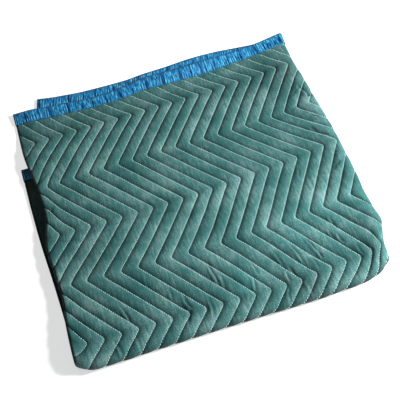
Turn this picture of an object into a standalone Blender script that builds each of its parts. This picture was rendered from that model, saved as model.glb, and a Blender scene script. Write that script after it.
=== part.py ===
"""A quilted moving blanket, folded in half sideways and then in half again, lying flat.

Metres, +Z up. The last fold faces -Y, the fold of the first halving faces +X, and the bound
edge of the top half faces +Y. The origin is under the middle of the folded blanket.
"""

import math

import bmesh
import bpy
import numpy as np

# Quilting: zigzag lines of stitching run along the blanket, from one bound edge to the other
LINE_PITCH = 0.0495  # from one stitch line to the next, straight across
LEG_LENGTH = 0.204  # along the blanket, from one row of zigzag corners to the next
FIRST_CORNER = 0.159  # from the bound edge to the first row of corners
STITCH_ORIGIN = (-0.4515, 0.3437)  # the x of line 0 at no reach, the y of the first corner row

# Cloth
PUFF = 0.0070  # thickness between two stitch lines
SEWN = 0.0018  # thickness at a stitch line
BOUND = 0.0026  # thickness of the cloth inside the binding
HEM = 0.0030  # thickness at the turned side hems
HEM_WIDTH = 0.012
LEFT_HEM = -1.07 * LINE_PITCH  # side hem of the top layer, from line 0
RIGHT_HEM = 38.30 * LINE_PITCH  # the other side hem, past the side fold
LENGTH = 1.869  # from one bound edge to the other

# Binding: a folded tape over each bound edge
TAPE_WIDTH = 0.050  # of each leaf
TAPE = 0.0011  # thickness of the tape
TAPE_GAP = 0.0005  # between tape and cloth
TAPE_CLEAR = 0.002  # from the tape's inner edge to where the cloth starts to puff
TAPE_END = TAPE_WIDTH + TAPE_CLEAR + HEM_WIDTH  # where the cloth has puffed, from the edge

# Layers of the folded stack
AIR = 0.0006  # between the layers of one half
HALVES_AIR = 0.0016  # between the top half and the lower half
SIDE_FOLD = 0.0060  # radius of the middle of the cloth round the side fold
SIDE_SETTLE = 0.080  # how far the side fold's bulge reaches in
FRONT_START = 1.030  # from the bound edge to the start of the front fold
FRONT_RISE = 0.0130  # how much the front fold bulges the stack
FRONT_SETTLE = 0.150  # how far back that bulge reaches
CORNER_PINCH = 0.032  # how far the side fold is drawn in where the front fold crosses it
CORNER_REACH = 0.070  # how far in from the side fold that pinch reaches
CORNER_LENGTH = 0.13  # how far back from the front fold that pinch reaches
RETREAT_START = 0.02  # from the front fold to where its uneven line starts to straighten
RETREAT_LENGTH = 0.24  # over which it straightens
BACK_LENGTH = 0.20  # over which the uneven back edge straightens
PULL_REACH = 0.05  # how far in from the left hem its uneven line reaches
DRAPE = 0.150  # length of the step down behind the lower half
HEM_DROOP = 0.060  # width of the step down past a hem below
HEM_CLEAR = 0.014  # from that hem to where the step starts
EDGE_CLEAR = 0.002  # between draped cloth and the edge that it passes
BRIDGED = 0.6  # share of a step past a hem that the stiff front fold bridges
TOP_SWELL, INNER_SWELL = 1.0, 0.8  # share of the waves in the two layers of the top half
LOWER_SWELL = 0.4  # and in the inner layer of the lower half; the outer one lies on the floor
HALF_GAP = (PUFF + AIR) / 2  # from the middle of one half to the middle of each layer
FRONT_RADIUS = (2 * HALF_GAP + PUFF + HALVES_AIR + FRONT_RISE) / 2
FRONT_ARC = math.pi * (FRONT_RADIUS + HALF_GAP)  # length of the outer layer round the fold

# Rows and columns of points
FOLD_TURNS = np.linspace(0, math.pi, 6)  # round the side fold
FRONT_STEPS = np.linspace(0, 1, 6)  # round the front fold
DRAPE_STEPS = np.linspace(0, 1, 4)  # down the step behind the lower half
BETWEEN_CORNERS = (1.5, 3.5)  # more rows on the top layer, counted in rows of corners
TAPE_STRAIGHTEN = 0.09  # from the top layer's tape to where rows lie level with the outer layer
FAR_STRAIGHTEN = 0.15  # the same from the other tape
NEARLY = 0.00005  # closer than this to the floor is on it

ZIGZAG = (
    # row of corners, lines that the stitch lines stand to the right there
    (-1.00, -0.08),
    (0.00, 2.93),
    (1.04, -0.08),
    (2.00, 3.08),
    (3.00, -0.08),
    (4.02, 3.03),
    (5.00, -0.05),
    (6.00, 3.00),
    (7.00, -0.05),
    (8.00, 3.00),
    (9.00, -0.05),
)
WIDEST_REACH = 4  # lines, more than the zigzag ever stands to the right

# Outline, each row a place and the value there: line counts across, rows of corners along
SIDE_FOLD_LINE = (
    # row of corners, lines from line 0
    (-0.8, 19.72),
    (-0.4, 19.54),
    (0.0, 19.40),
    (0.7, 19.31),
    (1.4, 19.33),
    (2.1, 19.22),
    (2.5, 19.15),
    (3.1, 18.90),
    (3.6, 18.82),
    (4.4, 18.80),
    (6.4, 19.05),
    (8.4, 19.35),
)
BACK_EDGE = (
    # lines from line 0, metres towards the front
    (-1.1, -0.015),
    (0.5, -0.002),
    (2.6, 0.003),
    (4.6, 0.011),
    (7.1, 0.010),
    (8.4, 0.005),
    (10.8, 0.011),
    (12.7, 0.014),
    (14.5, 0.008),
    (17.2, -0.005),
    (19.5, -0.022),
)
UNDER_BACK_EDGE = (
    # metres from the side fold, metres that the layer below lies further back
    (0.00, 0.000),
    (0.05, 0.002),
    (0.10, 0.010),
    (0.17, 0.027),
    (0.25, 0.044),
    (0.34, 0.051),
    (0.43, 0.042),
    (0.50, 0.035),
    (0.57, 0.031),
    (0.64, 0.036),
    (0.71, 0.040),
    (0.80, 0.043),
    (0.86, 0.048),
    (0.93, 0.061),
)
LEFT_PULL = (
    # row of corners, metres that the top layer's hem is drawn in
    (-0.8, 0.000),
    (0.4, 0.003),
    (0.7, 0.010),
    (1.0, 0.017),
    (1.7, 0.019),
    (2.0, 0.006),
    (2.2, 0.000),
    (2.7, 0.005),
    (3.2, 0.009),
    (3.6, 0.003),
    (4.2, 0.000),
)
LOWER_SHIFT = (
    # metres behind the front fold, metres that the lower half lies to the left
    (0.00, 0.000),
    (0.20, 0.002),
    (0.32, 0.007),
    (0.46, 0.015),
    (0.62, 0.019),
    (0.80, 0.019),
)
FRONT_RETREAT = (
    # lines from line 0, metres that the front fold lies back
    (-1.10, 0.034),
    (-0.85, 0.022),
    (-0.50, 0.010),
    (0.00, 0.003),
    (0.70, 0.001),
    (4.00, 0.000),
    (9.00, -0.006),
    (14.50, -0.011),
    (16.40, -0.007),
    (17.00, 0.000),
    (17.50, 0.012),
    (17.90, 0.026),
    (18.40, 0.036),
)
WAVES = (
    # height, length across, length along, turn at the origin in radians
    (0.0013, 0.62, 0.95, 0.4),
    (0.0010, -0.85, 0.60, 2.1),
    (0.0007, 0.48, -0.90, 4.0),
)


def table(rows, place):
    """A smooth curve through a table's rows, held level past both ends."""
    places, values = np.array(rows).T
    slopes = np.gradient(values, places)
    last = len(places) - 2
    cell = np.clip(np.searchsorted(places, place) - 1, 0, last)
    step = places[cell + 1] - places[cell]
    f = np.clip((place - places[cell]) / step, 0.0, 1.0)
    near = (1 + 2 * f) * (1 - f) ** 2 * values[cell] + f * (1 - f) ** 2 * step * slopes[cell]
    far = f**2 * (3 - 2 * f) * values[cell + 1] + f**2 * (f - 1) * step * slopes[cell + 1]
    return near + far


def ease(share):
    """0 below 0, 1 above 1, and a smooth step between."""
    f = np.clip(share, 0.0, 1.0)
    return f * f * (3 - 2 * f)


def corner_row(along):
    """The place along the blanket, counted in rows of zigzag corners."""
    return (along - FIRST_CORNER) / LEG_LENGTH


def zigzag(along):
    """How far the stitch lines stand to the right there."""
    rows, reach = zip(*ZIGZAG)
    return LINE_PITCH * np.interp(corner_row(along), rows, reach)


def side_fold_at(along):
    """The flat place across the blanket where the side fold starts."""
    return LINE_PITCH * table(SIDE_FOLD_LINE, corner_row(along)) - SIDE_FOLD - PUFF / 2


def waves(x, y):
    """Gentle rise of the upper layers."""
    rise = np.zeros(np.shape(x))
    for height, across, along, turn in WAVES:
        rise += height * 0.5 * (1 + np.sin(math.tau * (x / across + y / along) + turn))
    return rise


def lay(across, along):
    """Where the middle of the cloth lies in the folded blanket, for a place on the flat cloth."""
    across, along = np.broadcast_arrays(np.asarray(across, float), np.asarray(along, float))
    # The side fold: the outer layer before it, the inner layer past it
    fold = side_fold_at(along)
    past = across - fold
    turn = np.clip(past / SIDE_FOLD, 0.0, math.pi)
    run = np.where(past < 0, -past, np.maximum(past - math.pi * SIDE_FOLD, 0.0))
    outer = np.cos(turn)
    bulge = (SIDE_FOLD - HALF_GAP) * np.exp(-((run / SIDE_SETTLE) ** 2))
    gap = HALF_GAP + bulge
    x = fold + SIDE_FOLD * np.sin(turn) - run
    inner = (1 - outer) / 2
    placed = along - inner * table(UNDER_BACK_EDGE, run)

    # The front fold
    bend = math.pi * np.clip((placed - FRONT_START) / FRONT_ARC, 0.0, 1.0)
    behind = np.maximum(placed - FRONT_START - FRONT_ARC, 0.0)
    before = np.minimum(placed, FRONT_START)
    to_front = np.where(behind > 0, behind, FRONT_START - before)

    # Shifts within the layer
    x = x - table(LOWER_SHIFT, behind)
    pinch = np.exp(-((run / CORNER_REACH) ** 2)) * (1 - ease(to_front / CORNER_LENGTH))
    x = x - CORNER_PINCH * pinch
    near_hem = np.exp(-(((across - LEFT_HEM) / PULL_REACH) ** 2))
    x = x + near_hem * np.where(behind > 0, 0.0, table(LEFT_PULL, corner_row(along)))
    y = FIRST_CORNER - np.where(behind > 0, FRONT_START - behind, before)
    lines = x / LINE_PITCH
    y = y - table(BACK_EDGE, lines) * (1 - ease(placed / BACK_LENGTH))
    y = y + table(FRONT_RETREAT, lines) * (1 - ease((to_front - RETREAT_START) / RETREAT_LENGTH))

    # Which layers lie below
    lower_back = FIRST_CORNER - FRONT_START + (LENGTH - FRONT_START - FRONT_ARC)
    cover = ease((lower_back + EDGE_CLEAR + DRAPE - y) / DRAPE)
    near_front = np.exp(-((to_front / FRONT_SETTLE) ** 2))
    lower_fold = side_fold_at(FRONT_START + FRONT_ARC + to_front)
    top_hem = 2 * fold + math.pi * SIDE_FOLD - RIGHT_HEM
    lower_hem = top_hem + 2 * (lower_fold - fold) - table(LOWER_SHIFT, to_front)
    over_top = ease((x - top_hem + HEM_CLEAR + HEM_DROOP) / HEM_DROOP)
    over_lower = ease((x - lower_hem + HEM_CLEAR + HEM_DROOP) / HEM_DROOP)

    # Heights of the top half and of the lower half
    low = PUFF / 2 + gap
    lift = 2 * gap + PUFF + HALVES_AIR
    swell = waves(x, y)
    top_swell = TOP_SWELL + (INNER_SWELL - TOP_SWELL) * inner
    top = low + cover * lift + near_front * FRONT_RISE
    fall = 2 * gap * (1 - over_top) + cover * (lift - PUFF - AIR) * (1 - over_lower)
    fall = np.where(outer > 0, fall * (1 - BRIDGED * near_front), 0.0)
    upper = top + gap * outer - fall + swell * top_swell * np.where(outer > 0, over_top, cover)
    lower = low - gap * outer + swell * LOWER_SWELL * inner

    # Round the front fold
    radius = (upper - lower) / 2
    z = np.where(behind > 0, lower, (upper + lower) / 2 + radius * np.cos(bend))
    z = np.where(placed < FRONT_START, upper, z)
    y = y - radius * np.sin(bend)
    place_x, place_y = STITCH_ORIGIN
    return np.stack([x + place_x, y + place_y, z], axis=-1)


def face_way(across, along):
    """The cloth's outward normal: up on top, down underneath."""
    small = 0.0002
    by_across = lay(across + small, along) - lay(across - small, along)
    by_along = lay(across, along + small) - lay(across, along - small)
    normal = np.cross(by_along, by_across)
    return normal / np.linalg.norm(normal, axis=-1, keepdims=True)


def offset(across, along, distance):
    """A point at a distance from the middle of the cloth, never below the floor."""
    point = lay(across, along) + face_way(across, along) * np.asarray(distance)[..., None]
    point[..., 2] = np.maximum(point[..., 2], 0.0)
    return point


def press_flat(points, across, along):
    """Presses the underside of the cloth that rests on the floor level with the floor."""
    middle = lay(across, along)[:, 2]
    past_tape = np.minimum(along, LENGTH - along) > TAPE_WIDTH + TAPE_CLEAR + NEARLY
    rests = (middle < PUFF / 2 + NEARLY) & (points[:, 2] < middle) & past_tape
    points[rests, 2] = 0.0
    return points


def half_thickness(across, along):
    """Half the cloth's thickness: thin at stitch lines, hems and bound edges."""
    count = (across - zigzag(along)) / LINE_PITCH
    puff = np.sin(math.pi * np.abs(count - np.round(count)))
    thick = SEWN + (PUFF - SEWN) * puff
    to_hem = np.minimum(across - LEFT_HEM, RIGHT_HEM - across)
    to_end = np.minimum(along, LENGTH - along)
    thick = HEM + (thick - HEM) * ease(to_hem / HEM_WIDTH)
    thick = BOUND + (thick - BOUND) * ease((to_end - TAPE_WIDTH - TAPE_CLEAR) / HEM_WIDTH)
    return thick / 2


def rows_along():
    """Places along the outer layer where it has a row of points."""
    corners = FIRST_CORNER + LEG_LENGTH * np.array([row for row, _ in ZIGZAG])
    corners = corners[(corners > TAPE_END) & (corners < LENGTH - TAPE_END)]
    between = FIRST_CORNER + LEG_LENGTH * np.array(BETWEEN_CORNERS)
    drape = 2 * FRONT_START + FRONT_ARC - LENGTH - EDGE_CLEAR - DRAPE * DRAPE_STEPS
    around = FRONT_START + FRONT_ARC * FRONT_STEPS
    edge = np.array([0.0, TAPE_WIDTH + TAPE_CLEAR, TAPE_END])
    rows = np.concatenate([edge, corners, between, drape, around, LENGTH - edge])
    return np.sort(rows)


def row_place(row, across):
    """The place along the cloth that lies level with a row of the outer layer."""
    past = np.maximum(across - side_fold_at(row), 0.0)
    run = np.maximum(past - math.pi * SIDE_FOLD, 0.0)
    from_tape = (row - TAPE_END) / TAPE_STRAIGHTEN
    from_far_tape = (LENGTH - TAPE_END - row) / FAR_STRAIGHTEN
    return row + table(UNDER_BACK_EDGE, run) * ease(from_tape) * ease(from_far_tape)


def stitch_columns():
    """Every stitch line and every middle between two, counted from line 0."""
    first = math.floor(LEFT_HEM / LINE_PITCH) - WIDEST_REACH
    last = math.ceil(RIGHT_HEM / LINE_PITCH) + 1
    return np.arange(first, last + 0.25, 0.5)


def cut(bm, place, keep=None):
    """Cuts the flat cloth along a straight line, and drops one side if keep names the other."""
    geometry = bm.verts[:] + bm.edges[:] + bm.faces[:]
    bmesh.ops.bisect_plane(
        bm,
        geom=geometry,
        dist=1e-6,
        plane_co=(place, 0, 0),
        plane_no=(1, 0, 0),
        clear_inner=keep == "right",
        clear_outer=keep == "left",
    )


def flat_cloth():
    """The cloth laid out flat, its edges along the stitch lines and midway between them."""
    bm = bmesh.new()
    rows = rows_along()
    lines = stitch_columns()
    grid = []
    for row in rows:
        along = row_place(row, lines * LINE_PITCH + zigzag(row))
        across = lines * LINE_PITCH + zigzag(np.clip(along, TAPE_END, LENGTH - TAPE_END))
        grid.append([bm.verts.new((x, y, 0)) for x, y in zip(across, along)])
    for near, far in zip(grid, grid[1:]):
        for column in range(len(lines) - 1):
            bm.faces.new((near[column], near[column + 1], far[column + 1], far[column]))
    cut(bm, LEFT_HEM, keep="right")
    cut(bm, RIGHT_HEM, keep="left")
    cut(bm, LEFT_HEM + HEM_WIDTH)
    for vert in bm.verts:
        vert.co.x -= float(side_fold_at(vert.co.y))
    for turn in FOLD_TURNS:
        cut(bm, turn * SIDE_FOLD)
    for vert in bm.verts:
        vert.co.x += float(side_fold_at(vert.co.y))
    bmesh.ops.triangulate(bm, faces=bm.faces[:])
    return bm


def blanket_mesh():
    """The folded cloth: the flat cloth laid, with a face side, a back side and a rim."""
    bm = flat_cloth()
    bm.verts.index_update()
    flat = np.array([vert.co[:2] for vert in bm.verts])
    across, along = flat.T
    half = half_thickness(across, along)
    face_side = press_flat(offset(across, along, half), across, along)
    back_side = press_flat(offset(across, along, -half), across, along)
    rim = [[vert.index for vert in edge.verts] for edge in bm.edges if edge.is_boundary]
    triangles = [[vert.index for vert in face.verts] for face in bm.faces]
    bm.free()
    built = bmesh.new()
    sides = [[built.verts.new(point) for point in side] for side in (face_side, back_side)]
    for a, b, c in triangles:
        built.faces.new((sides[0][a], sides[0][b], sides[0][c]))
        built.faces.new((sides[1][c], sides[1][b], sides[1][a]))
    for a, b in rim:
        built.faces.new((sides[0][a], sides[0][b], sides[1][b], sides[1][a]))
    return built


def tape_places(along, at_far_end):
    """Places across the cloth where the tape has a section: where the cloth's edge has a point."""
    edge, puffed = (LENGTH, LENGTH - TAPE_END) if at_far_end else (0.0, TAPE_END)
    fold = float(side_fold_at(edge))
    end = fold + math.pi * SIDE_FOLD
    points = stitch_columns() * LINE_PITCH + zigzag(puffed)
    near = LINE_PITCH / 10
    on_top = points[(points > LEFT_HEM + near) & (points < fold - near)]
    below = points[(points > end + near) & (points < RIGHT_HEM - near)]
    around = float(side_fold_at(along)) + SIDE_FOLD * FOLD_TURNS
    return np.concatenate([[LEFT_HEM], on_top, around, below, [RIGHT_HEM]])


def tape_mesh(at_far_end):
    """A tape folded over a bound edge, along the whole edge."""
    inside = BOUND / 2 + TAPE_GAP
    outside = PUFF / 2
    nose = TAPE_GAP + TAPE
    section = (
        # from the edge into the cloth, from the cloth's middle
        (TAPE_WIDTH, outside),
        (0.0, outside),
        (-nose, 0.0),
        (0.0, -outside),
        (TAPE_WIDTH, -outside),
        (TAPE_WIDTH, -inside),
        (-TAPE_GAP, -inside),
        (-TAPE_GAP, inside),
        (TAPE_WIDTH, inside),
    )
    bm = bmesh.new()
    strings = []
    for into, from_middle in section:
        along = LENGTH - into if at_far_end else into
        points = offset(tape_places(along, at_far_end), along, from_middle)
        strings.append([bm.verts.new(point) for point in points])
    rings = list(zip(*strings))
    count = len(section)
    for near, far in zip(rings, rings[1:]):
        for corner in range(count):
            after = (corner + 1) % count
            bm.faces.new((near[corner], near[after], far[after], far[corner]))
    for ring in (rings[0], rings[-1]):
        for corners in ((0, 1, 7, 8), (1, 2, 7), (2, 6, 7), (2, 3, 6), (3, 4, 5, 6)):
            bm.faces.new([ring[corner] for corner in corners])
    return bm


def add_piece(name, bm, colour, roughness, collection):
    """Makes a bmesh an object of its own, with a material of its own."""
    bmesh.ops.triangulate(bm, faces=bm.faces[:])
    bmesh.ops.recalc_face_normals(bm, faces=bm.faces[:])
    mesh = bpy.data.meshes.new(name)
    bm.to_mesh(mesh)
    bm.free()
    mesh.shade_smooth()
    mesh.set_sharp_from_angle(angle=math.radians(50))
    material = bpy.data.materials.new(name)
    material.use_nodes = True
    surface = material.node_tree.nodes["Principled BSDF"]
    surface.inputs["Base Color"].default_value = (*colour, 1.0)
    surface.inputs["Roughness"].default_value = roughness
    surface.inputs["Metallic"].default_value = 0.0
    mesh.materials.append(material)
    piece = bpy.data.objects.new(name, mesh)
    collection.objects.link(piece)
    return piece


def main():
    for old in list(bpy.data.objects):
        bpy.data.objects.remove(old, do_unlink=True)
    collection = bpy.data.collections.new("moving_blanket")
    bpy.context.scene.collection.children.link(collection)
    teal, blue = (0.075, 0.205, 0.185), (0.020, 0.245, 0.600)
    pieces = [
        add_piece("blanket", blanket_mesh(), teal, 0.85, collection),
        add_piece("binding_top", tape_mesh(at_far_end=False), blue, 0.55, collection),
        add_piece("binding_low", tape_mesh(at_far_end=True), blue, 0.55, collection),
    ]
    points = np.array([vert.co for piece in pieces for vert in piece.data.vertices])
    print("low", points.min(axis=0).round(4), "high", points.max(axis=0).round(4))
    for piece in pieces:
        print(piece.name, len(piece.data.polygons), "triangles")


main()
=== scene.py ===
# %% [markdown]
# # A folded moving blanket
#
# Removers wrap furniture in blankets like this one. It is a rectangle of quilted cloth,
# sewn in zigzag lines, with a blue tape bound over two of its edges. Here it lies folded
# in half twice. This notebook dresses the plain solid from the CAD model: it makes the
# cloth again with a fine surface, sews its stitches, gathers its binding tape, and then
# gives each piece a material, a light and a camera.
#
# Every length is in metres, +Z is up, and the blanket rests on the floor at Z = 0.

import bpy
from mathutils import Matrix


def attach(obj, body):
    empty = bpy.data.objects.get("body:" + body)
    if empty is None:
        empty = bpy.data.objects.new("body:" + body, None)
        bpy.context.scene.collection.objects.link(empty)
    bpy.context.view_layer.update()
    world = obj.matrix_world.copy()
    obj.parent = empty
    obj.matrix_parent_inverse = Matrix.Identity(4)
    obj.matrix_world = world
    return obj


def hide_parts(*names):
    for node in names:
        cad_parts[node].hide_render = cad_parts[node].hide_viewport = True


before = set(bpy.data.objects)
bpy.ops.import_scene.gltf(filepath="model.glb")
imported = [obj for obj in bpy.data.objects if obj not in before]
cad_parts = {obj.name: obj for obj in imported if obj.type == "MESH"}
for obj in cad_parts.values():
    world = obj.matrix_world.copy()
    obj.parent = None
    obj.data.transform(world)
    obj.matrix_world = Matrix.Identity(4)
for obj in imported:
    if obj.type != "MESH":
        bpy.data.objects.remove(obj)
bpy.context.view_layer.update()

import math

import bmesh
import bpy
import numpy as np
from mathutils import Matrix, Vector

# %% [markdown]
# ## The sizes of the blanket
#
# A real blanket is quilted flat first and folded afterwards. We do the same: every point
# has a place on the flat cloth, *across* it and *along* it, and one function folds that
# place into the stack. The plain solids were made with the same sizes, apart from the curl
# of the bound edge, the droop of the left hem and small shifts that only thin cloth follows.

# %% Sizes of the quilting and the cloth
LINE_PITCH = 0.0495  # from one stitch line to the next, straight across
LEG_LENGTH = 0.204  # along the blanket, from one corner of a zigzag to the next
FIRST_CORNER = 0.159  # from the bound edge to the first row of corners
STITCH_ORIGIN = (-0.4515, 0.3437)  # the x of line 0 at no reach, the y of the first corner row
PUFF = 0.0070  # thickness between two stitch lines
SEWN = 0.0018  # thickness at a stitch line
BOUND = 0.0026  # thickness of the cloth inside the binding
HEM = 0.0030  # thickness at the turned side hems
HEM_WIDTH = 0.012
HEM_ROLL = 0.010  # the face cloth rolls down over the edge of the hem
LEFT_HEM = -1.07 * LINE_PITCH
RIGHT_HEM = 38.52 * LINE_PITCH
LENGTH = 1.869
TAPE_WIDTH = 0.050  # of each leaf of the binding
TAPE = 0.0011  # thickness of the tape
print(f"flat cloth: {RIGHT_HEM - LEFT_HEM:.3f} by {LENGTH} m")

# %% Sizes of the folded stack
AIR = 0.0006  # between the layers of one half
HALVES_AIR = 0.0016  # between the top half and the lower half
SIDE_FOLD = 0.0060  # radius of the middle of the cloth round the side fold
SIDE_SETTLE = 0.080
FRONT_START = 1.030  # from the bound edge to the start of the front fold
FRONT_RISE = 0.0130
FRONT_SETTLE = 0.150
CORNER_PINCH = 0.032
CORNER_REACH = 0.070
CORNER_LENGTH = 0.13
RETREAT_START = 0.02
RETREAT_LENGTH = 0.24
BACK_LENGTH = 0.20
CURL_LENGTH = 0.055
PULL_REACH = 0.05
DRAPE = 0.150
HEM_DROOP = 0.085
HEM_CLEAR = 0.014
EDGE_CLEAR = 0.002
BRIDGED = 0.6
TOP_SWELL, INNER_SWELL, LOWER_SWELL = 1.0, 0.8, 0.4
HALF_GAP = (PUFF + AIR) / 2
FRONT_RADIUS = (2 * HALF_GAP + PUFF + HALVES_AIR + FRONT_RISE) / 2
FRONT_ARC = math.pi * (FRONT_RADIUS + HALF_GAP)
FOLD_END = FRONT_START + FRONT_ARC
print(f"the front fold takes {FRONT_ARC * 1000:.0f} mm of cloth")

# %% [markdown]
# ## The uneven outline
#
# No two layers of a folded blanket line up. Each table below is a short curve: a place,
# and how far the cloth lies from straight there. Rows are counted in zigzag corners from
# the bound edge, and lines are counted from the left.

# %% Tables of the outline
SIDE_FOLD_LINE = (
    (-0.8, 19.72), (-0.4, 19.54), (0.0, 19.40), (0.7, 19.31), (1.4, 19.33), (2.1, 19.22), (2.5, 19.15),
    (3.1, 18.94), (3.6, 18.96), (4.4, 18.84), (6.4, 19.05), (8.4, 19.35),
)
BACK_EDGE = (
    (-1.1, -0.015), (0.5, 0.000), (2.6, 0.010), (4.6, 0.020), (7.1, 0.016), (8.4, 0.007),
    (10.8, 0.013), (12.7, 0.016), (14.5, 0.009), (17.2, -0.005), (19.5, -0.022),
)
UNDER_BACK_EDGE = (
    (0.00, 0.000), (0.05, 0.002), (0.10, 0.010), (0.17, 0.027), (0.25, 0.045),
    (0.34, 0.056), (0.43, 0.048), (0.50, 0.040), (0.57, 0.037), (0.64, 0.044),
    (0.71, 0.049), (0.80, 0.050), (0.86, 0.053), (0.93, 0.063),
)
EDGE_LIFT = (
    (-1.1, 0.004), (-0.3, 0.007), (0.4, 0.006), (1.2, 0.003), (4.6, 0.002), (7.5, 0.004),
    (9.4, 0.010), (11.0, 0.015), (12.6, 0.018), (13.5, 0.016), (14.8, 0.008), (16.4, 0.005),
    (18.0, 0.000),
)
LEFT_PULL = (
    (-0.8, 0.000), (0.4, 0.003), (0.7, 0.010), (1.0, 0.017), (1.7, 0.019), (2.0, 0.006),
    (2.2, 0.000), (2.7, 0.005), (3.2, 0.009), (3.6, 0.003), (4.2, 0.000),
)
LOWER_SHIFT = ((0.00, 0.000), (0.20, 0.002), (0.32, 0.007), (0.46, 0.015), (0.62, 0.019))
FRONT_RETREAT = (
    (-1.10, 0.034), (-0.85, 0.022), (-0.50, 0.010), (0.00, 0.003), (0.70, 0.001),
    (4.00, 0.000), (9.00, -0.006), (14.50, -0.011), (16.40, -0.007), (17.00, 0.000),
    (17.50, 0.012), (17.90, 0.026), (18.40, 0.036),
)
WAVES = (
    # height, length across, length along, turn at the origin in radians
    (0.0013, 0.62, 0.95, 0.4),
    (0.0010, -0.85, 0.60, 2.1),
    (0.0007, 0.48, -0.90, 4.0),
)
print("rows of the side fold and the two back edges:",
      len(SIDE_FOLD_LINE), len(BACK_EDGE), len(UNDER_BACK_EDGE))

# %% Curves, steps and soft random heights
def table(rows, place):
    """A smooth curve through a table's rows, held level past both ends."""
    places, values = np.array(rows).T
    slopes = np.gradient(values, places)
    last = len(places) - 2
    cell = np.clip(np.searchsorted(places, place) - 1, 0, last)
    step = places[cell + 1] - places[cell]
    f = np.clip((place - places[cell]) / step, 0.0, 1.0)
    near = (1 + 2 * f) * (1 - f) ** 2 * values[cell] + f * (1 - f) ** 2 * step * slopes[cell]
    far = f**2 * (3 - 2 * f) * values[cell + 1] + f**2 * (f - 1) * step * slopes[cell + 1]
    return near + far


def ease(share):
    """0 below 0, 1 above 1, and a smooth step between."""
    f = np.clip(share, 0.0, 1.0)
    return f * f * (3 - 2 * f)


HILLS = 128
HEIGHTS = np.random.default_rng(11).uniform(-1, 1, (HILLS, HILLS))
START_SHIFT = (17.31, 29.17)  # each start reads its own part of the heights


def hilly(x, y, start=0):
    """Soft random heights from -1 to 1, with one hill or hollow to a unit of x and y."""
    x = np.asarray(x, float) + START_SHIFT[0] * start
    y = np.asarray(y, float) + START_SHIFT[1] * start
    column, row = np.floor(x).astype(int), np.floor(y).astype(int)
    right, up = ease(x - column), ease(y - row)
    corner = [HEIGHTS[(row + j) % HILLS, (column + i) % HILLS] for j in (0, 1) for i in (0, 1)]
    low = corner[0] + (corner[1] - corner[0]) * right
    high = corner[2] + (corner[3] - corner[2]) * right
    return low + (high - low) * up


print("two soft heights:", hilly([0.2, 0.7], [0.4, 0.9]).round(2))

# %% [markdown]
# ## Folding the flat cloth
#
# *lay* answers one question: where does the middle of the cloth end up, for a place on
# the flat cloth? It could be simulated as falling cloth, but a blanket that somebody has
# folded by hand keeps its edges and its layers in order, and a formula keeps them so.

# %% Where the zigzag and the side fold run
def corner_row(along):
    """The place along the blanket, counted in rows of zigzag corners."""
    return (along - FIRST_CORNER) / LEG_LENGTH


ZIGZAG = (
    # row of corners, lines that the stitch lines stand to the right there
    (-1.00, -0.08), (0.00, 2.93), (1.04, -0.08), (2.00, 3.08), (3.00, -0.08), (4.02, 3.03),
    (5.00, -0.05), (6.00, 3.00), (7.00, -0.05), (8.00, 3.00), (9.00, -0.05),
)
CORNER_ROUND = 0.022  # of a leg: real stitch lines turn in two or three stitches


def zigzag(along):
    """How far the stitch lines stand to the right there, their corners a little blunt."""
    rows, reach = zip(*ZIGZAG)
    row = corner_row(along)
    before = np.interp(row - CORNER_ROUND, rows, reach)
    after = np.interp(row + CORNER_ROUND, rows, reach)
    return LINE_PITCH * (before + after) / 2


DRIFT = (
    # row of corners, and millimetres to the right and forward at 0, 5, 9, 13, 16 and 19 lines
    (-0.4, (0, 0, 0, 0, 0, 0), (0, 0, 0, 0, 0, 0)),
    (0.0, (0, 0, 0, 0, 2, -2), (0, 0, 0, 0, -6, -14)),
    (1.0, (-10, -6, -5, -4, -8, -15), (0, -3, -2, 0, -3, -12)),
    (2.0, (-7, 0, 2, 0, 2, -2), (6, 14, 17, 6, -4, -17)),
    (3.0, (-12, 3, 12, 11, 4, -3), (-6, 9, 17, 12, 4, -5)),
    (4.0, (-6, -3, -2, -12, -16, -22), (-1, 6, 10, 11, -3, 22)),
    (5.0, (-30, -32, -36, -62, -85, -95), (0, 0, 0, 0, 0, 0)),
    (6.5, (0, 0, 0, 0, 0, 0), (0, 0, 0, 0, 0, 0)),
)
DRIFT_LINES = (0, 5, 9, 13, 16, 19)


def drift(line, row, way):
    """Metres that the quilting strays from its pattern: to the right (1) or forward (2)."""
    rows = np.array([entry[0] for entry in DRIFT])
    strays = np.array([entry[way] for entry in DRIFT]) / 1000
    row, line = np.broadcast_arrays(np.asarray(row, float), np.asarray(line, float))
    cell = np.clip(np.searchsorted(rows, row) - 1, 0, len(rows) - 2)
    share = ease((row - rows[cell]) / (rows[cell + 1] - rows[cell]))
    by_line = np.array([np.interp(line, DRIFT_LINES, values) for values in strays])
    near = np.take_along_axis(by_line, cell[None], 0)[0]
    far = np.take_along_axis(by_line, cell[None] + 1, 0)[0]
    return near + (far - near) * share


def sewn_place(line, along):
    """The flat place across and along where the pattern's line and row really were sewn."""
    across = line * LINE_PITCH + zigzag(along)
    line, row = across / LINE_PITCH, corner_row(along)
    return across + drift(line, row, 1), along + drift(line, row, 2)


def side_fold_at(along):
    """The flat place across the blanket where the side fold starts."""
    return LINE_PITCH * table(SIDE_FOLD_LINE, corner_row(along)) - SIDE_FOLD - PUFF / 2


def waves(x, y):
    """Gentle rise of the upper layers."""
    rise = np.zeros(np.shape(x))
    for height, across, along, turn in WAVES:
        rise += height * 0.5 * (1 + np.sin(math.tau * (x / across + y / along) + turn))
    return rise


print(f"halfway along, the side fold starts {float(side_fold_at(FRONT_START / 2)):.3f} m across")

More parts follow.
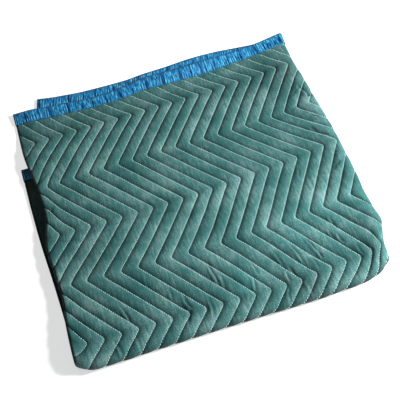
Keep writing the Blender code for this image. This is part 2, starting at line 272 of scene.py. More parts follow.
# %% Lay the cloth
def lay(across, along):
    """Where the middle of the cloth lies in the folded blanket, for a place on the flat cloth."""
    across, along = np.broadcast_arrays(np.asarray(across, float), np.asarray(along, float))
    # The side fold: the outer layer before it, the inner layer past it
    fold = side_fold_at(along)
    past = across - fold
    turn = np.clip(past / SIDE_FOLD, 0.0, math.pi)
    run = np.where(past < 0, -past, np.maximum(past - math.pi * SIDE_FOLD, 0.0))
    outer = np.cos(turn)
    bulge = (SIDE_FOLD - HALF_GAP) * np.exp(-((run / SIDE_SETTLE) ** 2))
    gap = HALF_GAP + bulge
    x = fold + SIDE_FOLD * np.sin(turn) - run
    inner = (1 - outer) / 2
    placed = along - inner * table(UNDER_BACK_EDGE, run)

    # The front fold
    bend = math.pi * np.clip((placed - FRONT_START) / FRONT_ARC, 0.0, 1.0)
    behind = np.maximum(placed - FOLD_END, 0.0)
    before = np.minimum(placed, FRONT_START)
    to_front = np.where(behind > 0, behind, FRONT_START - before)

    # Shifts within the layer
    x = x - table(LOWER_SHIFT, behind)
    pinch = np.exp(-((run / CORNER_REACH) ** 2)) * (1 - ease(to_front / CORNER_LENGTH))
    x = x - CORNER_PINCH * pinch
    near_hem = np.exp(-(((across - LEFT_HEM) / PULL_REACH) ** 2))
    x = x + near_hem * np.where(behind > 0, 0.0, table(LEFT_PULL, corner_row(along)))
    y = FIRST_CORNER - np.where(behind > 0, FRONT_START - behind, before)
    lines = x / LINE_PITCH
    y = y - table(BACK_EDGE, lines) * (1 - ease(placed / BACK_LENGTH))
    y = y + table(FRONT_RETREAT, lines) * (1 - ease((to_front - RETREAT_START) / RETREAT_LENGTH))

    # Which layers lie below
    lower_back = FIRST_CORNER - FRONT_START + (LENGTH - FOLD_END)
    cover = ease((lower_back + EDGE_CLEAR + DRAPE - y) / DRAPE)
    near_front = np.exp(-((to_front / FRONT_SETTLE) ** 2))
    lower_fold = side_fold_at(FOLD_END + to_front)
    top_hem = 2 * fold + math.pi * SIDE_FOLD - RIGHT_HEM
    lower_hem = top_hem + 2 * (lower_fold - fold) - table(LOWER_SHIFT, to_front)
    over_top = ease((x - top_hem + HEM_CLEAR + HEM_DROOP) / HEM_DROOP)
    over_lower = ease((x - lower_hem + HEM_CLEAR + HEM_DROOP) / HEM_DROOP)

    # Heights of the top half and of the lower half
    low = PUFF / 2 + gap
    lift = 2 * gap + PUFF + HALVES_AIR
    swell = waves(x, y)
    top_swell = TOP_SWELL + (INNER_SWELL - TOP_SWELL) * inner
    top = low + cover * lift + near_front * FRONT_RISE
    fall = 2 * gap * (1 - over_top) + cover * (lift - PUFF - AIR) * (1 - over_lower)
    fall = np.where(outer > 0, fall * (1 - BRIDGED * near_front), 0.0)
    curl = table(EDGE_LIFT, lines) * (1 - ease(placed / CURL_LENGTH)) * np.maximum(outer, 0.0)
    carried = np.where(outer > 0, over_top, cover)
    upper = top + curl + gap * outer - fall + swell * top_swell * carried
    lower = low - gap * outer + swell * LOWER_SWELL * inner

    # Round the front fold
    radius = (upper - lower) / 2
    z = np.where(behind > 0, lower, (upper + lower) / 2 + radius * np.cos(bend))
    z = np.where(placed < FRONT_START, upper, z)
    y = y - radius * np.sin(bend)
    place_x, place_y = STITCH_ORIGIN
    return np.stack([x + place_x, y + place_y, z], axis=-1)


NEARBY = 0.0004


def face_way(across, along):
    """The cloth's outward normal: up on top, down underneath."""
    by_across = lay(across + NEARBY, along) - lay(across - NEARBY, along)
    by_along = lay(across, along + NEARBY) - lay(across, along - NEARBY)
    normal = np.cross(by_along, by_across)
    return normal / np.linalg.norm(normal, axis=-1, keepdims=True)


def raised(across, along, distance):
    """A point at a distance from the middle of the cloth, never below the floor."""
    point = lay(across, along) + face_way(across, along) * np.asarray(distance)[..., None]
    point[..., 2] = np.maximum(point[..., 2], 0.0)
    return point


corner = lay(LEFT_HEM, 0.0)
print("back left corner of the top layer:", corner.round(3))

# %% [markdown]
# ## The relief of the quilting
#
# Between two stitch lines the batting pushes the face cloth up into a soft, flat-topped
# ridge, and each line of stitches pulls it down into a narrow groove. The cloth on both
# sides of a groove is a little too long for it, so it puckers. A plain sine wave would
# look like corrugated iron, so the ridge is a steep wall and a low dome on top of it, its
# fullness changes from place to place, and the puckers fade away from the stitches.

# %% Sizes of the relief
HEM_LOW = 0.0004  # at the very edge of a hem
GROOVE = 0.0003  # at the foot of a groove
VALLEY = 0.025  # of a channel, from the stitch line to the foot of the groove
WALL = 0.0040  # rise of the steep wall beside a stitch line
WALL_WIDTH, WALL_CURVE = 0.16, 1.3  # share of a channel, and how squarely the wall starts
DOME = 0.0025  # rise from there to the middle of a channel
FULL_CHANNEL, FULL_LENGTH = 0.12, 0.07  # one channel's own fullness, and how fast it changes
FULL_PATCH, PATCH_SIZE = 0.10, 0.13  # fullness of a whole patch of channels
CHANNELS_APART, SIDES_APART = 3.7, 7.3  # hills between neighbours, so that each has its own
BY_TAPE = 0.55  # share of the relief beside the binding, where the tape holds the cloth flat
BY_TAPE_LENGTH = 0.12
PUCKER, PUCKER_MEAN = 0.0009, 0.6
PUCKER_PITCH = 0.011  # along the stitches
PUCKER_PATCH = 0.06  # from a place with strong puckers to one with weak puckers
PUCKER_REACH, PUCKER_START = 0.16, 0.03  # of a channel, away from the stitch line
SMOOTHED = 0.035  # from the side fold to where the cloth is stretched less, its relief lower
FOLD_RELIEF = 0.20  # share of the relief that is left round the side fold
FOOT_RELIEF = 0.25  # and at the foot of the front fold
FOOT_AT, FOOT_OVER = 0.75, 0.5  # of the cloth in the front fold
HIDDEN_BEFORE, HIDDEN_OVER = 0.02, 0.03  # the fine face ends here, before the front fold's end
UNDER_TAPE = 0.001  # the cloth is already thinner at the tape's inner edge
print(f"a channel rises {(WALL + DOME) * 1000:.1f} mm over its grooves")


# %% Height of the face cloth over the middle of the sheet
def shown(across, along):
    """1 on the top layer and round the front fold, 0 where the face cloth is hidden."""
    past_side = (across - side_fold_at(along)) / (math.pi * SIDE_FOLD)
    past_front = (along - FOLD_END + HIDDEN_BEFORE) / HIDDEN_OVER
    return (1 - ease(past_side)) * (1 - ease(past_front))


def edges(across, along):
    """0 at a hem or inside the binding, 1 where the cloth has its full thickness."""
    to_hem = np.minimum(across - LEFT_HEM, RIGHT_HEM - across)
    to_end = np.minimum(along, LENGTH - along)
    roll = np.sqrt(1 - (1 - np.clip(to_hem / HEM_ROLL, 0, 1)) ** 2)
    return roll, ease((to_end - TAPE_WIDTH + UNDER_TAPE) / HEM_WIDTH)


def half_thickness(line, across, along):
    """Half the cloth's thickness where nothing shows."""
    puff = np.abs(np.sin(math.pi * line))
    hem, end = edges(across, along)
    thick = HEM + (SEWN + (PUFF - SEWN) * puff - HEM) * hem
    return (BOUND + (thick - BOUND) * end) / 2


def face_relief(line, across, along):
    """Height of the quilted face, without its creases."""
    channel = np.floor(line)
    from_line = np.abs(line - VALLEY - np.round(line - VALLEY))
    wall = 1 - np.exp(-((from_line / WALL_WIDTH) ** WALL_CURVE))
    dome = np.abs(np.sin(math.pi * line))
    by_channel = FULL_CHANNEL * hilly(channel * CHANNELS_APART, along / FULL_LENGTH)
    by_patch = FULL_PATCH * hilly(across / PATCH_SIZE, along / PATCH_SIZE, 3)
    height = GROOVE + (WALL * wall + DOME * dome) * (1 + by_channel + by_patch)
    side = channel + 0.5 * (line - channel > 0.5)
    patch = hilly(across / PUCKER_PATCH, along / PUCKER_PATCH, 7)
    strength = PUCKER_MEAN * (1 + patch)
    folds = hilly(along / PUCKER_PITCH, side * SIDES_APART, 5) * strength
    beside = np.exp(-from_line / PUCKER_REACH) * (1 - np.exp(-from_line / PUCKER_START))
    height = height + PUCKER * folds * beside
    to_fold = ease((side_fold_at(along) + SIDE_FOLD - across) / SMOOTHED)
    to_foot = ease((FRONT_START + FRONT_ARC * FOOT_AT - along) / (FRONT_ARC * FOOT_OVER))
    to_tape = ease((along - TAPE_WIDTH) / BY_TAPE_LENGTH)
    for low, share in ((FOLD_RELIEF, to_fold), (FOOT_RELIEF, to_foot), (BY_TAPE, to_tape)):
        height = height * (low + (1 - low) * share)
    return height


print(f"the face stands {float(face_relief(8.5, 0.5, 0.5)) * 1000:.1f} mm over the sheet's middle")

# %% [markdown]
# ## Creases
#
# Handling leaves creases that ignore the quilting. The sharpest ones stand behind the
# front fold, where the cloth was bent, and along the side fold on the right. Each row of
# the table is one crease: where it starts and ends on the cloth, in stitch lines across
# and corner rows along, its depth and its width in millimetres. A crease is a trough with
# a soft ridge on one side, because the cloth that leaves the trough has to go somewhere.

# %% Table of creases
CREASES = (
    # line, row, line, row, depth, width
    # Behind the front fold, from left to right
    (2.28, 3.62, 2.60, 3.90, 2.6, 5),
    (1.38, 4.10, 1.66, 4.34, 2.6, 5),
    (2.62, 4.06, 2.70, 4.36, 1.4, 5),
    (4.36, 3.14, 4.16, 3.42, 1.2, 4),
    (5.34, 3.50, 5.26, 3.80, 1.8, 5),
    (5.95, 3.72, 6.10, 4.00, 2.8, 5),
    (6.06, 4.00, 5.66, 4.22, 2.2, 6),
    (7.95, 3.36, 8.18, 3.74, 2.8, 5),
    (8.50, 3.62, 8.36, 3.90, 1.8, 5),
    (7.30, 3.94, 7.24, 4.22, 1.5, 5),
    (10.46, 3.56, 10.50, 3.78, 2.0, 4),
    (10.20, 3.80, 10.08, 4.02, 2.8, 5),
    (9.55, 4.00, 9.45, 4.28, 1.4, 5),
    (12.00, 3.48, 12.12, 3.78, 1.8, 5),
    (12.40, 3.80, 12.58, 4.04, 2.4, 5),
    (12.20, 3.88, 12.02, 4.04, 2.8, 5),
    (11.82, 4.14, 11.64, 4.32, 1.8, 5),
    (13.12, 3.48, 13.32, 3.84, 2.8, 5),
    (13.98, 3.76, 13.96, 4.00, 2.0, 5),
    (13.00, 4.12, 12.94, 4.32, 1.8, 5),
    (14.18, 3.46, 14.48, 3.84, 3.0, 5),
    (14.58, 3.62, 14.46, 3.84, 2.0, 4),
    (15.54, 3.44, 15.66, 3.58, 1.8, 4),
    (16.04, 3.22, 16.12, 3.44, 2.2, 5),
    (16.00, 3.56, 16.06, 3.72, 2.6, 5),
    (16.70, 3.80, 16.90, 4.05, 1.5, 6),
    # Down the channels at the right
    (16.04, 2.40, 16.12, 2.70, 1.8, 5),
    (15.74, 2.22, 15.56, 2.45, 1.4, 5),
    (16.90, 2.55, 17.00, 2.85, 1.2, 6),
    # Along the side fold
    (18.62, 0.56, 18.94, 0.92, 2.8, 7),
    (18.70, 0.86, 19.14, 0.84, 3.4, 6),
    (17.84, 0.72, 18.60, 0.62, 1.8, 5),
    (17.28, 1.06, 17.86, 0.98, 1.8, 5),
    (17.95, 1.10, 18.30, 1.20, 2.4, 6),
    (18.30, 1.26, 18.74, 1.34, 2.8, 6),
    (17.30, 1.42, 17.60, 1.50, 2.0, 5),
    (17.85, 1.50, 18.20, 1.66, 2.6, 7),
    (18.30, 1.70, 18.72, 1.78, 2.6, 6),
    (17.90, 2.44, 18.60, 2.32, 2.4, 6),
    (18.40, 2.10, 18.80, 2.20, 1.8, 6),
    # Long and faint, left by an older fold
    (-0.80, 2.12, 1.20, 2.27, 1.3, 8),
    (1.20, 2.27, 3.40, 2.10, 0.8, 8),
    (2.60, 2.13, 7.60, 2.29, 1.3, 7),
    (2.60, 2.54, 5.40, 2.64, 0.7, 8),
    # At the left hem
    (-0.95, 0.95, 0.20, 0.80, 1.4, 7),
    (-0.90, 1.60, 0.10, 1.46, 1.6, 8),
)
print(len(CREASES), "creases")

# %% Turn the table into a depth at every place
PAST_END, TAPER = 0.12, 0.3  # of a crease's length, past its ends and fading out
WANDER, BENDS, CREASES_APART = 0.0035, 2.2, 5.7  # how a crease strays from straight
TROUGH_WIDTH = 0.00075  # metres for each millimetre of the table's width
RIDGE_WIDTH, RIDGE_OFF = 0.0010, 0.0014  # the same, and how far the ridge lies to the side
STRENGTH, RIDGE_SHARE = 1.4, 0.8  # the photo's creases are sharper than the table's depths
CREASE_AT_LINE = 0.45  # share of a crease's depth that is left at a stitch line
LUMP, LUMP_SIZE = 0.0008, 0.045  # uneven batting
THINNEST = 0.0002


def crease_depth(across, along):
    """How far the creases push the face cloth down."""
    depth = np.zeros(np.shape(across))
    for number, (line, row, end_line, end_row, deep, wide) in enumerate(CREASES):
        start = np.array([line * LINE_PITCH, FIRST_CORNER + row * LEG_LENGTH])
        end = np.array([end_line * LINE_PITCH, FIRST_CORNER + end_row * LEG_LENGTH])
        way = end - start
        long = np.linalg.norm(way)
        way = way / long
        x, y = across - start[0], along - start[1]
        down = (x * way[0] + y * way[1]) / long
        off = (x * way[1] - y * way[0]) + WANDER * hilly(down * BENDS, number * CREASES_APART, 9)
        ends = ease((down + PAST_END) / TAPER) * ease((1 + PAST_END - down) / TAPER)
        trough = np.exp(-((off / (TROUGH_WIDTH * wide)) ** 2))
        ridge = np.exp(-(((off + RIDGE_OFF * wide) / (RIDGE_WIDTH * wide)) ** 2))
        depth += STRENGTH * deep / 1000 * ends * (trough - RIDGE_SHARE * ridge)
    return depth


def face_height(line, across, along):
    """Height of the face cloth over the middle of the sheet."""
    hem, end = edges(across, along)
    show = shown(across, along)
    relief = face_relief(line, across, along)
    depth_share = CREASE_AT_LINE + (1 - CREASE_AT_LINE) * np.abs(np.sin(math.pi * line))
    relief = relief - crease_depth(across, along) * depth_share
    relief = relief + LUMP * hilly(across / LUMP_SIZE, along / LUMP_SIZE, 2)
    relief = HEM_LOW + (relief - HEM_LOW) * hem
    relief = BOUND / 2 + (relief - BOUND / 2) * end
    hidden = half_thickness(line, across, along)
    return hidden + (np.maximum(relief, THINNEST) - hidden) * show


deepest = float(crease_depth(*sewn_place(18.9, FIRST_CORNER + 0.85 * LEG_LENGTH)))
print(f"crease depth near the side fold: {deepest * 1000:.1f} mm")

# %% [markdown]
# ## The mesh of the cloth
#
# The columns of the grid follow the stitch lines. If they ran straight, the grooves would
# cut through the faces at an angle and look like saw teeth. The face of the top layer
# shows, so it gets sixteen columns to a channel and a row every 7 mm, or 5 mm where most
# creases are. The layers inside the stack and the underside get few. Both sides of the
# cloth are made flat, cut along the
# straight hems, joined by a rim and laid into the stack, so the sheet is one closed piece.

# %% Rows and columns of the grid
ROW_STEP, CREASED_STEP, HIDDEN_STEP = 0.0068, 0.0046, 0.026
CREASED_FROM = FIRST_CORNER + 3.1 * LEG_LENGTH  # the creases behind the front fold start here
NEAR_LINE = np.array([0.03, 0.07, 0.12, 0.18, 0.25, 0.33, 0.415])
FINE = np.concatenate([[0.0], NEAR_LINE, [0.5], 1 - NEAR_LINE[::-1]])
COARSE = np.array([0.0, 0.33, 0.67])
FIRST_LINE, TURN_LINE, LAST_LINE = -5, 20, 42
FOLD_TURNS = np.linspace(0, math.pi, 8)
HEM_STRIPS = (0.04, 0.14, 0.32, 0.6, 1.0)  # of the hem's roll
TOUCH = 1e-6


def rows_between(start, end, step):
    """Rows from start to end, one of them at every row of corners between."""
    corners = FIRST_CORNER + LEG_LENGTH * np.array([row for row, _ in ZIGZAG])
    between = corners[(corners > start) & (corners < end)]
    stops = np.unique(np.concatenate([[start], between, [end]]))
    runs = []
    for a, b in zip(stops, stops[1:]):
        runs.append(np.linspace(a, b, max(2, round((b - a) / step) + 1)))
    return np.unique(np.concatenate(runs).round(7))


def columns(parts):
    """Line counts of the columns, for runs of (first line, last line, places in a channel)."""
    runs = [line + places for first, last, places in parts for line in range(first, last)]
    return np.concatenate(runs)


print(len(FINE), "columns to a channel that shows,", len(COARSE), "to one that doesn't")


# %% Grids, strips and straight cuts
def grid_rows(bm, lines, rows):
    """Adds a grid; a point holds its place across and along, and its line count as height."""
    grid = []
    for row in rows:
        across, along = sewn_place(lines, row)
        grid.append([bm.verts.new(place) for place in zip(across, along, lines)])
    for near, far in zip(grid, grid[1:]):
        for i in range(len(lines) - 1):
            bm.faces.new((near[i], near[i + 1], far[i + 1], far[i]))
    return grid


def strip(near, far, key):
    """Triangles between two rows of points, which may have different numbers of points."""
    i = j = 0
    made = []
    while i < len(near) - 1 or j < len(far) - 1:
        near_next = key(near[i + 1]) if i < len(near) - 1 else math.inf
        far_next = key(far[j + 1]) if j < len(far) - 1 else math.inf
        if near_next <= far_next:
            made.append((near[i], near[i + 1], far[j]))
            i += 1
        else:
            made.append((near[i], far[j + 1], far[j]))
            j += 1
    return made


def trim(bm, place, keep=None):
    """Cuts the flat cloth straight along, and drops one side if keep names the other."""
    bmesh.ops.bisect_plane(
        bm,
        geom=bm.verts[:] + bm.edges[:] + bm.faces[:],
        dist=TOUCH,
        plane_co=(place, 0, 0),
        plane_no=(1, 0, 0),
        clear_inner=keep == "right",
        clear_outer=keep == "left",
    )


# %% A flat side of the cloth, cut to size
def flat_side(is_face):
    """Points (across, along, line), triangles, and the four sides of the rim."""
    bm = bmesh.new()
    plain = columns([(FIRST_LINE, LAST_LINE, COARSE)])
    if is_face:
        mixed = columns([(FIRST_LINE, TURN_LINE, FINE), (TURN_LINE, LAST_LINE, COARSE)])
        upper_rows = rows_between(0.0, CREASED_FROM, ROW_STEP)
        creased_rows = rows_between(CREASED_FROM, FOLD_END, CREASED_STEP)
        top = grid_rows(bm, mixed, np.unique(np.concatenate([upper_rows, creased_rows])))
        low = grid_rows(bm, plain, rows_between(FOLD_END + ROW_STEP, LENGTH, HIDDEN_STEP))
        for corners in strip(top[-1], low[0], lambda vert: vert.co.x):
            bm.faces.new(corners)
    else:
        grid_rows(bm, plain, rows_between(0.0, LENGTH, HIDDEN_STEP))
    trim(bm, LEFT_HEM, keep="right")
    trim(bm, RIGHT_HEM, keep="left")
    for share in HEM_STRIPS:
        trim(bm, LEFT_HEM + HEM_ROLL * share)
    for vert in bm.verts:
        vert.co.x -= float(side_fold_at(vert.co.y))
    for turn in FOLD_TURNS:
        trim(bm, turn * SIDE_FOLD)
    for vert in bm.verts:
        vert.co.x += float(side_fold_at(vert.co.y))
    bmesh.ops.triangulate(bm, faces=bm.faces[:])
    bm.verts.index_update()
    points = np.array([vert.co[:] for vert in bm.verts])
    triangles = [[vert.index for vert in face.verts] for face in bm.faces]
    bm.free()
    sides = []
    for axis, place in ((0, LEFT_HEM), (0, RIGHT_HEM), (1, 0.0), (1, LENGTH)):
        on_side = np.flatnonzero(np.abs(points[:, axis] - place) < 2 * TOUCH)
        sides.append(on_side[np.argsort(points[on_side, 1 - axis])].tolist())
    return points, triangles, sides


face_side, back_side = flat_side(True), flat_side(False)
print("triangles on the face side", len(face_side[1]), "and on the back", len(back_side[1]))


# %% [markdown]
# ## Faded places, painted highlight and painted shade
#
# Use wears the nap and light fades it, so no blanket has one even tone. Noise alone could
# do this, but the largest patches stand where this blanket has them, so each is a row of a
# short table. The side fold gets a painted highlight, paler where it turns to the light,
# and the foot of the front fold gets painted shade, darker where it meets the floor.

# %% Table of the patches
FADED = (
    # line, row, millimetres across, share of the tone gained or lost
    (13.8, 3.40, 85, 0.32), (16.9, 3.05, 85, 0.26), (9.9, 3.80, 50, 0.45), (17.6, 0.20, 130, -0.26),
    (13.2, 4.20, 45, -0.30), (14.2, 0.45, 90, -0.10), (7.7, 0.50, 90, -0.08), (1.5, 2.60, 90, -0.18),
    (9.5, 1.85, 90, 0.12), (7.9, 3.10, 70, 0.10), (4.6, 1.60, 90, 0.12), (0.5, 1.50, 60, 0.08),
)
FOLD_HIGHLIGHT, FOLD_HIGHLIGHT_WIDTH = 0.35, 0.009  # painted highlight: how much paler the side fold is, and over what width
FOOT_SHADE, FOOT_SHADE_FROM, FOOT_SHADE_OVER = 0.72, 0.18, 0.32  # painted shade: how much darker the foot is, and where it starts and grows, in shares of the cloth in the front fold


def fading(across, along):
    """How much paler than the rest the cloth is, as a factor: tone patches, a painted highlight along
    the side fold and painted shade at the foot of the front fold.
    """
    tone = np.ones(np.shape(across))
    for line, row, reach, share in FADED:
        off = np.hypot(across - line * LINE_PITCH, along - FIRST_CORNER - row * LEG_LENGTH)
        tone += share * np.exp(-((off / (reach / 1000)) ** 2))
    # Painted highlight along the side fold
    by_fold = (across - side_fold_at(along)) / FOLD_HIGHLIGHT_WIDTH
    tone *= 1 + FOLD_HIGHLIGHT * np.exp(-(by_fold**2))
    # Painted shade at the foot of the front fold
    foot = ease((along - FRONT_START - FOOT_SHADE_FROM * FRONT_ARC) / (FOOT_SHADE_OVER * FRONT_ARC))
    return tone * (1 - FOOT_SHADE * foot)


print(len(FADED), "patches")

# %% [markdown]
# ## One closed sheet
#
# The two flat sides and the rim between them are laid into the stack in one go. Each
# corner of a face keeps its place on the flat cloth as a UV map, because the stitch lines,
# the nap and the creases belong to the cloth and not to the room.

# %% Join the two sides and lay the sheet
def new_piece(name, points, faces, places=None):
    """A smooth mesh object, with its places on the flat cloth as UV maps."""
    mesh = bpy.data.meshes.new(name)
    mesh.from_pydata(np.asarray(points).tolist(), [], faces)
    mesh.validate()
    for title, values in (places or {}).items():
        layer = mesh.uv_layers.new(name=title)
        corners = np.zeros(len(mesh.loops), int)
        mesh.loops.foreach_get("vertex_index", corners)
        layer.data.foreach_set("uv", np.asarray(values)[corners].ravel())
    bm = bmesh.new()
    bm.from_mesh(mesh)
    bmesh.ops.recalc_face_normals(bm, faces=bm.faces[:])
    bm.to_mesh(mesh)
    bm.free()
    mesh.shade_smooth()
    piece = bpy.data.objects.new(name, mesh)
    bpy.context.scene.collection.objects.link(piece)
    return piece


face_points, face_faces, face_rim = face_side
back_points, back_faces, back_rim = back_side
shift = len(face_points)
flat = np.concatenate([face_points, back_points])
faces = face_faces + [[i + shift for i in reversed(face)] for face in back_faces]
for axis, near, far in zip((1, 1, 0, 0), face_rim, back_rim):
    faces += strip(near, [i + shift for i in far], lambda i: flat[i, axis])

across, along, line = flat.T
height = face_height(line, across, along)
height[shift:] = -half_thickness(line, across, along)[shift:]
laid = raised(across, along, height)
quilt_place = np.stack([line, along], axis=-1)
cloth_place = np.stack([across, along], axis=-1)
CREASE_SHADE_DEPTH, HEM_SHADE_WIDTH = 0.004, 0.012  # crease depth of the full painted shade, and the width of the painted shade from the left hem
marks = np.stack(
    [crease_depth(across, along) / CREASE_SHADE_DEPTH, (across - LEFT_HEM) / HEM_SHADE_WIDTH], axis=-1
)
tone_and_light_map = np.stack([fading(across, along), 0 * across], axis=-1)
maps = {"cloth": cloth_place, "quilt": quilt_place, "marks": marks, "fading": tone_and_light_map}
blanket = new_piece("quilted_cloth", laid, faces, maps)
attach(blanket, "root")
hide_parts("blanket")
print("quilted cloth:", len(blanket.data.polygons), "triangles")

# %% [markdown]
# ## Stitches
#
# The zigzag lines are lockstitch, about seven millimetres from stitch to stitch. Drawn
# into the colour, they would vanish in raking light. Each one is a small bent spindle of
# thread instead, which dives into the groove at both ends and catches the light between.

# %% One stitch, and a whole row of them
STITCH, STITCH_GAP = 0.0052, 0.0018
THREAD = 0.0012  # radius
RINGS = (
    # share of the length, share of the radius, lift over the face
    (0.0, 0.15, -0.0004), (0.18, 0.9, 0.0008), (0.5, 1.0, 0.0013), (0.82, 0.9, 0.0008),
    (1.0, 0.15, -0.0004),
)
SIDES = 4
BESIDE_TAPE, BEFORE_END = 0.002, 0.004  # the rows start and stop this far from the edges
STRAY, STRAY_LENGTH, ROWS_APART = 0.0006, 0.004, 3.3  # no two stitches are the same length
ROUND_FOLD = 1.7  # of the side fold's radius, where the rows leave the light


def stitch_mesh(name, starts, ends, ups, thick):
    """Spindles of thread from starts to ends, raised along ups."""
    way = ends - starts
    side = np.cross(way, ups)
    side = side / np.linalg.norm(side, axis=1, keepdims=True)
    rings = []
    for share, width, lift in RINGS:
        middle = starts + way * share + ups * lift
        for k in range(SIDES):
            turn = math.tau * (k + 0.5) / SIDES
            rings.append(middle + thick * width * (side * math.cos(turn) + ups * math.sin(turn)))
    points = np.stack(rings, axis=1)
    count = len(RINGS) * SIDES
    faces = []
    for ring in range(len(RINGS) - 1):
        for k in range(SIDES):
            a, b = ring * SIDES + k, ring * SIDES + (k + 1) % SIDES
            faces.append((a, b, b + SIDES, a + SIDES))
    faces.append(tuple(range(SIDES)))
    faces.append(tuple(range(count - 1, count - 1 - SIDES, -1)))
    pattern = np.arange(len(starts)) * count
    quads = [tuple(i + base for i in face) for base in pattern.tolist() for face in faces]
    return new_piece(name, points.reshape(-1, 3), quads)


def quilt_stitches():
    """Starts, ends and ups of the stitches that show on the quilting."""
    slant = math.hypot(3 * LINE_PITCH, LEG_LENGTH) / LEG_LENGTH
    step = (STITCH + STITCH_GAP) / slant
    starts = np.arange(TAPE_WIDTH + BESIDE_TAPE, FOLD_END - BEFORE_END, step)
    line, along = np.meshgrid(np.arange(FIRST_LINE, TURN_LINE + 1.0), starts)
    along = along + STRAY * hilly(line * ROWS_APART, along / STRAY_LENGTH)
    ends = along + STITCH / slant
    across, place = sewn_place(line, along)
    fold_end = side_fold_at(place) + SIDE_FOLD * ROUND_FOLD
    keep = (across > LEFT_HEM + HEM_WIDTH) & (across < fold_end)
    keep &= place > TAPE_WIDTH + BESIDE_TAPE
    line, along, ends = line[keep], along[keep], ends[keep]
    sides = []
    for place in (along, ends):
        across, place = sewn_place(line, place)
        sides.append(raised(across, place, face_height(line, across, place)))
    return sides[0], sides[1], face_way(*sewn_place(line, along))


starts, ends, ups = quilt_stitches()
stitching = stitch_mesh("quilting_stitches", starts, ends, ups, THREAD)
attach(stitching, "root")
print(len(starts), "stitches show on the quilting")

# %% [markdown]
# ## Binding tape
#
# The tape is a woven strip folded over the raw edge and sewn down through both leaves.
# The machine feeds the cloth faster than the tape, so the tape comes out gathered: small
# puckers run straight from the stitches to the fold. They are modelled as ripples whose
# depth grows towards the stitches, with a deep one now and then.

# %% Puckers
PLEAT = 0.0088  # from one pucker to the next
PLEAT_DEPTH = 0.0024
DEEP_PITCH, DEEP_WIDTH = 0.052, 0.0032  # from one deep pucker to the next, and across one
ROUNDNESS, MIDDLE = 0.7, 0.75  # a power below one rounds the ridges; their middle height
LEAN, LEAN_LENGTH = 0.005, 0.05  # how far puckers lean, and over what length that changes
UNEVEN, UNEVEN_LENGTH = 0.0040, 0.013  # how far they stand from an even pitch
DEEP_UNEVEN, DEEP_LENGTH, DEEP_SHARE = 0.016, 0.08, 0.9  # the same for the deep ones
FADE_LENGTH, TAPES_APART = 0.030, 3.1  # puckers come and go over this way into the cloth


def gathers(across, into, start):
    """Height of the puckers in metres: round ridges with a sharp crease between two."""
    lean = LEAN * hilly(across / LEAN_LENGTH, start) * into / TAPE_WIDTH
    place = across + lean + UNEVEN * hilly(across / UNEVEN_LENGTH, start, 4)
    ridge = np.abs(np.sin(math.pi * place / PLEAT)) ** ROUNDNESS - MIDDLE
    fade = hilly(place / UNEVEN_LENGTH, start * TAPES_APART + into / FADE_LENGTH, 6)
    strength = 0.75 + 0.75 * fade
    strayed = place + DEEP_UNEVEN * hilly(place / DEEP_LENGTH, start)
    deep_at = np.mod(strayed, DEEP_PITCH) - DEEP_PITCH / 2
    deep = np.exp(-((deep_at / DEEP_WIDTH) ** 2))
    return PLEAT_DEPTH * (ridge * strength - DEEP_SHARE * deep)


print(f"puckers every {PLEAT * 1000:.0f} mm, up to {PLEAT_DEPTH * 1000:.1f} mm high")

# %% Lines along the tape, round its section
TAPE_STEP = 0.0015
TAPE_GAP = 0.0004
TAPE_RISE = 0.0014  # the middle of the puckers over a flat tape
SEAM_IN = 0.005  # from the tape's inner edge to its stitches
SEAM_WIDTH, SEAM_DEPTH, SEAM_HOLD = 0.0035, 0.0005, 0.35  # the seam holds the puckers down
BY_FOLD, GROWN = 0.25, 0.6  # puckers start this low at the fold and are full at this share
WAVES_FROM = 0.6  # share of the leaf where the inner edge starts to wave
EDGE_WAVES = ((0.0013, 0.016, 8), (0.0011, 0.006, 1))  # height, length, its own heights
LEAF = (1.0, 0.985, 0.94, 0.90, 0.86, 0.78, 0.66, 0.52, 0.38, 0.24, 0.12, 0.04)
NOSE = ((-0.03, 0.72), (-0.055, 0.0), (-0.03, -0.72))  # share of the leaf, share of the height
LINING = (0.97, 0.5, 0.02)
LINING_NOSE = -0.0004
TAPE_END = 0.0015  # past each hem
TAPE_END_SHADE = 0.030  # the ends of a tape are painted darker over this length, a painted shade
LOW_TAPE_SHADE = 0.12  # and the tape that lies below is painted darker all over, a painted shade


def tape_strings(across, start):
    """Lines along the tape: distance into the cloth, height, pucker, share of the leaf."""
    wave = sum(high * hilly(across / long, start, own) for high, long, own in EDGE_WAVES)
    inner_side = BOUND / 2 + TAPE_GAP
    level = np.zeros(len(across))
    above = [(share, 1) for share in LEAF]
    below = [(share, -1) for share in reversed(LEAF)]
    strings = []
    for share, way in above + list(NOSE) + below:
        into = share * TAPE_WIDTH + wave * ease((share - WAVES_FROM) / (1 - WAVES_FROM))
        seam = np.exp(-(((share * TAPE_WIDTH - TAPE_WIDTH + SEAM_IN) / SEAM_WIDTH) ** 2))
        amount = (BY_FOLD + (1 - BY_FOLD) * ease(share / GROWN)) * (1 - SEAM_HOLD * seam)
        ripple = amount * gathers(across, into, start + way)
        height = inner_side + TAPE + TAPE_RISE + ripple - SEAM_DEPTH * seam
        height = np.maximum(height, inner_side + TAPE * 0.4)
        strings.append((into, height * way, ripple, share))
    for share in LINING:
        strings.append((level + share * TAPE_WIDTH, level - inner_side, level, share))
    strings.append((level + LINING_NOSE, level, level, 0.0))
    for share in reversed(LINING):
        strings.append((level + share * TAPE_WIDTH, level + inner_side, level, share))
    return strings


print("lines round the tape:", 2 * len(LEAF) + len(NOSE) + 2 * len(LINING) + 1)


